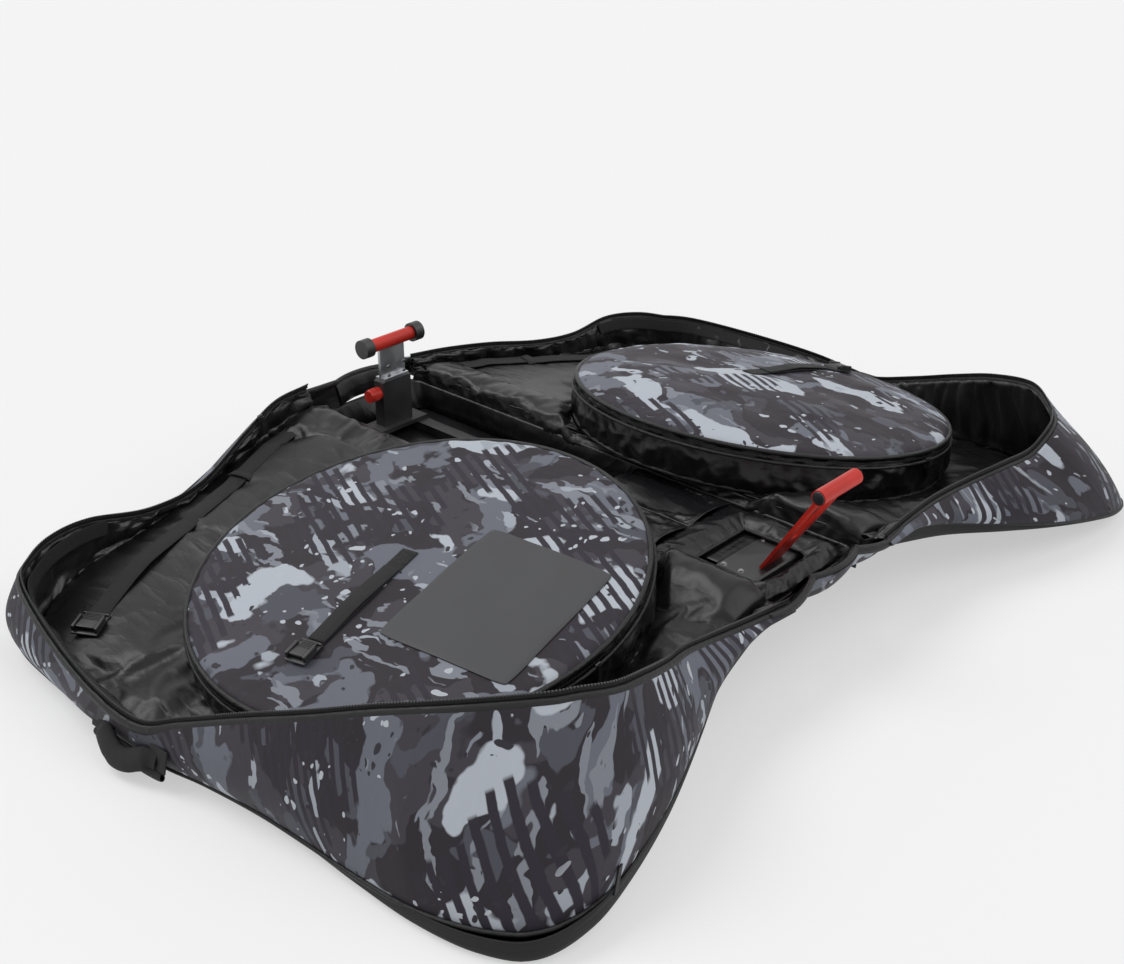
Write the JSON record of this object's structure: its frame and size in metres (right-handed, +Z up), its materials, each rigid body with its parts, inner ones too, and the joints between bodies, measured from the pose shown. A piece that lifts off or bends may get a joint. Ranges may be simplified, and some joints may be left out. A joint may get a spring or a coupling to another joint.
{
  "type": "soft bike travel bag",
  "caption": "Open padded travel bag for a bicycle: low tub on casters with a rail chassis, and two fold-out soft halves, each with a zipped round wheel pocket.",
  "frame": {"origin": "on the floor, under the middle of the open bag", "axes": "+Z up, +X to the front of the bag where the fork stands, +Y to its left"},
  "size_m": [1.25, 1.838, 0.3025],
  "materials": {
    "shell_black": "matt coated fabric over a stiff board",
    "lining_black": "slightly shiny quilted nylon",
    "camo_fabric": "printed woven polyester, grey camouflage",
    "webbing_black": "ribbed webbing",
    "chassis_black": "black powder coat",
    "signal_red": "satin red paint",
    "stand_plate": "brushed",
    "buckle_plastic": "moulded acetal",
    "wheel_grey": "polyurethane tread"
  },
  "bodies": {
    "base": {"base_board": "buckle_plastic", "base_tub": "shell_black", "tub_mat": "lining_black", "base_front_wall": "lining_black", "base_rear_wall": "lining_black", "chassis_frame": "chassis_black", "rear_stand": "chassis_black", "rear_stand_plate": "stand_plate", "rear_axle": "signal_red", "rear_axle_collar_right": "buckle_plastic", "rear_axle_collar_left": "buckle_plastic", "stand_lock_knob": "signal_red", "tie_down_strap_right": "webbing_black", "tie_down_strap_left": "webbing_black"},
    "carriage": {"fork_carriage": "chassis_black", "fork_bracket": "signal_red", "fork_bar": "signal_red"},
    "carriage_lever": {"carriage_lock_lever": "signal_red"},
    "caster_front_right": {"caster_fork_front_right": "chassis_black"},
    "wheel_front_right": {"caster_wheel_front_right": "wheel_grey"},
    "caster_front_left": {"caster_fork_front_left": "chassis_black"},
    "wheel_front_left": {"caster_wheel_front_left": "wheel_grey"},
    "caster_rear_right": {"caster_fork_rear_right": "chassis_black"},
    "wheel_rear_right": {"caster_wheel_rear_right": "wheel_grey"},
    "caster_rear_left": {"caster_fork_rear_left": "chassis_black"},
    "wheel_rear_left": {"caster_wheel_rear_left": "wheel_grey"},
    "right_half": {"right_side_panel": "shell_black", "right_gusset_rear": "camo_fabric", "right_gusset_top": "camo_fabric", "right_gusset_front": "camo_fabric", "right_rim_zip": "buckle_plastic", "right_pocket_band": "lining_black", "right_inner_strap": "webbing_black", "right_inner_buckle": "buckle_plastic", "right_pocket_zip_slider": "chassis_black", "right_seam_zip_slider": "chassis_black", "main_zip_slider": "chassis_black"},
    "right_lid": {"right_pocket_lid": "camo_fabric", "right_lid_strap": "webbing_black", "right_lid_buckle": "buckle_plastic"},
    "right_handle": {"right_grab_handle": "webbing_black"},
    "right_pocket_pull": {"right_pocket_zip_pull": "buckle_plastic"},
    "right_seam_pull": {"right_seam_zip_pull": "buckle_plastic"},
    "left_half": {"left_side_panel": "shell_black", "left_gusset_rear": "camo_fabric", "left_gusset_top": "camo_fabric", "left_gusset_front": "camo_fabric", "left_rim_zip": "buckle_plastic", "left_pocket_band": "lining_black", "left_inner_strap": "webbing_black", "left_inner_buckle": "buckle_plastic", "left_pocket_zip_slider": "chassis_black", "left_seam_zip_slider": "chassis_black"},
    "left_lid": {"left_pocket_lid": "camo_fabric", "left_lid_strap": "webbing_black", "left_lid_buckle": "buckle_plastic"},
    "left_handle": {"left_grab_handle": "webbing_black"},
    "left_pocket_pull": {"left_pocket_zip_pull": "buckle_plastic"},
    "left_seam_pull": {"left_seam_zip_pull": "buckle_plastic"},
    "main_pull": {"main_zip_pull": "buckle_plastic"}
  },
  "joints": [
    {"name": "right_fold", "type": "hinge", "parent": "base", "child": "right_half", "pos_m": [0, -0.13015, 0.12395], "axis": [-1, 0, 0], "range_deg": [0, 80]},
    {"name": "left_fold", "type": "hinge", "parent": "base", "child": "left_half", "pos_m": [0, 0.13015, 0.12395], "axis": [1, 0, 0], "range_deg": [0, 80]},
    {"name": "right_lid_hinge", "type": "hinge", "parent": "right_half", "child": "right_lid", "pos_m": [0.027, -0.09247, 0.22325], "axis": [1, 0, 0], "range_deg": [-100, 0]},
    {"name": "left_lid_hinge", "type": "hinge", "parent": "left_half", "child": "left_lid", "pos_m": [0.027, 0.09247, 0.22325], "axis": [-1, 0, 0], "range_deg": [-100, 0]},
    {"name": "carriage_slide", "type": "slide", "parent": "base", "child": "carriage", "axis": [1, 0, 0], "range_m": [-0.08, 0]},
    {"name": "carriage_lever_turn", "type": "hinge", "parent": "carriage", "child": "carriage_lever", "pos_m": [0.31266, -0.0628, 0.1055], "axis": [0, -1, 0], "range_deg": [0, 110]},
    {"name": "caster_swivel_front_right", "type": "hinge", "parent": "base", "child": "caster_front_right", "pos_m": [0.33966, -0.083, 0.0583], "axis": [0, 0, 1], "continuous": true},
    {"name": "wheel_spin_front_right", "type": "hinge", "parent": "caster_front_right", "child": "wheel_front_right", "pos_m": [0.32566, -0.083, 0.0235], "axis": [0, 1, 0], "continuous": true},
    {"name": "caster_swivel_front_left", "type": "hinge", "parent": "base", "child": "caster_front_left", "pos_m": [0.33966, 0.083, 0.0583], "axis": [0, 0, 1], "continuous": true},
    {"name": "wheel_spin_front_left", "type": "hinge", "parent": "caster_front_left", "child": "wheel_front_left", "pos_m": [0.32566, 0.083, 0.0235], "axis": [0, 1, 0], "continuous": true},
    {"name": "caster_swivel_rear_right", "type": "hinge", "parent": "base", "child": "caster_rear_right", "pos_m": [-0.52683, -0.083, 0.0583], "axis": [0, 0, 1], "continuous": true},
    {"name": "wheel_spin_rear_right", "type": "hinge", "parent": "caster_rear_right", "child": "wheel_rear_right", "pos_m": [-0.54083, -0.083, 0.0235], "axis": [0, 1, 0], "continuous": true},
    {"name": "caster_swivel_rear_left", "type": "hinge", "parent": "base", "child": "caster_rear_left", "pos_m": [-0.52683, 0.083, 0.0583], "axis": [0, 0, 1], "continuous": true},
    {"name": "wheel_spin_rear_left", "type": "hinge", "parent": "caster_rear_left", "child": "wheel_rear_left", "pos_m": [-0.54083, 0.083, 0.0235], "axis": [0, 1, 0], "continuous": true},
    {"name": "right_handle_lift", "type": "hinge", "parent": "right_half", "child": "right_handle", "pos_m": [-0.08021, -0.87814, 0.042], "axis": [-0.9995, -0.0301, 0], "range_deg": [0, 40]},
    {"name": "left_handle_lift", "type": "hinge", "parent": "left_half", "child": "left_handle", "pos_m": [-0.08021, 0.88313, 0.042], "axis": [0.9995, -0.0319, 0], "range_deg": [0, 40]},
    {"name": "right_pocket_pull_swing", "type": "hinge", "parent": "right_half", "child": "right_pocket_pull", "pos_m": [0.38545, -0.43486, 0.15004], "axis": [0, -1, 0], "range_deg": [0, 120]},
    {"name": "left_pocket_pull_swing", "type": "hinge", "parent": "left_half", "child": "left_pocket_pull", "pos_m": [0.38545, 0.43486, 0.15004], "axis": [0, -1, 0], "range_deg": [0, 120]},
    {"name": "right_seam_pull_swing", "type": "hinge", "parent": "right_half", "child": "right_seam_pull", "pos_m": [0.61528, -0.65966, 0.07749], "axis": [0.1107, -0.9772, -0.1811], "range_deg": [0, 120]},
    {"name": "left_seam_pull_swing", "type": "hinge", "parent": "left_half", "child": "left_seam_pull", "pos_m": [0.61515, 0.65978, 0.06856], "axis": [-0.1107, -0.9772, 0.1811], "range_deg": [0, 120]},
    {"name": "main_pull_swing", "type": "hinge", "parent": "right_half", "child": "main_pull", "pos_m": [-0.57168, -0.26374, 0.17401], "axis": [0.2763, -0.9611, 0], "range_deg": [0, 120]}
  ]
}
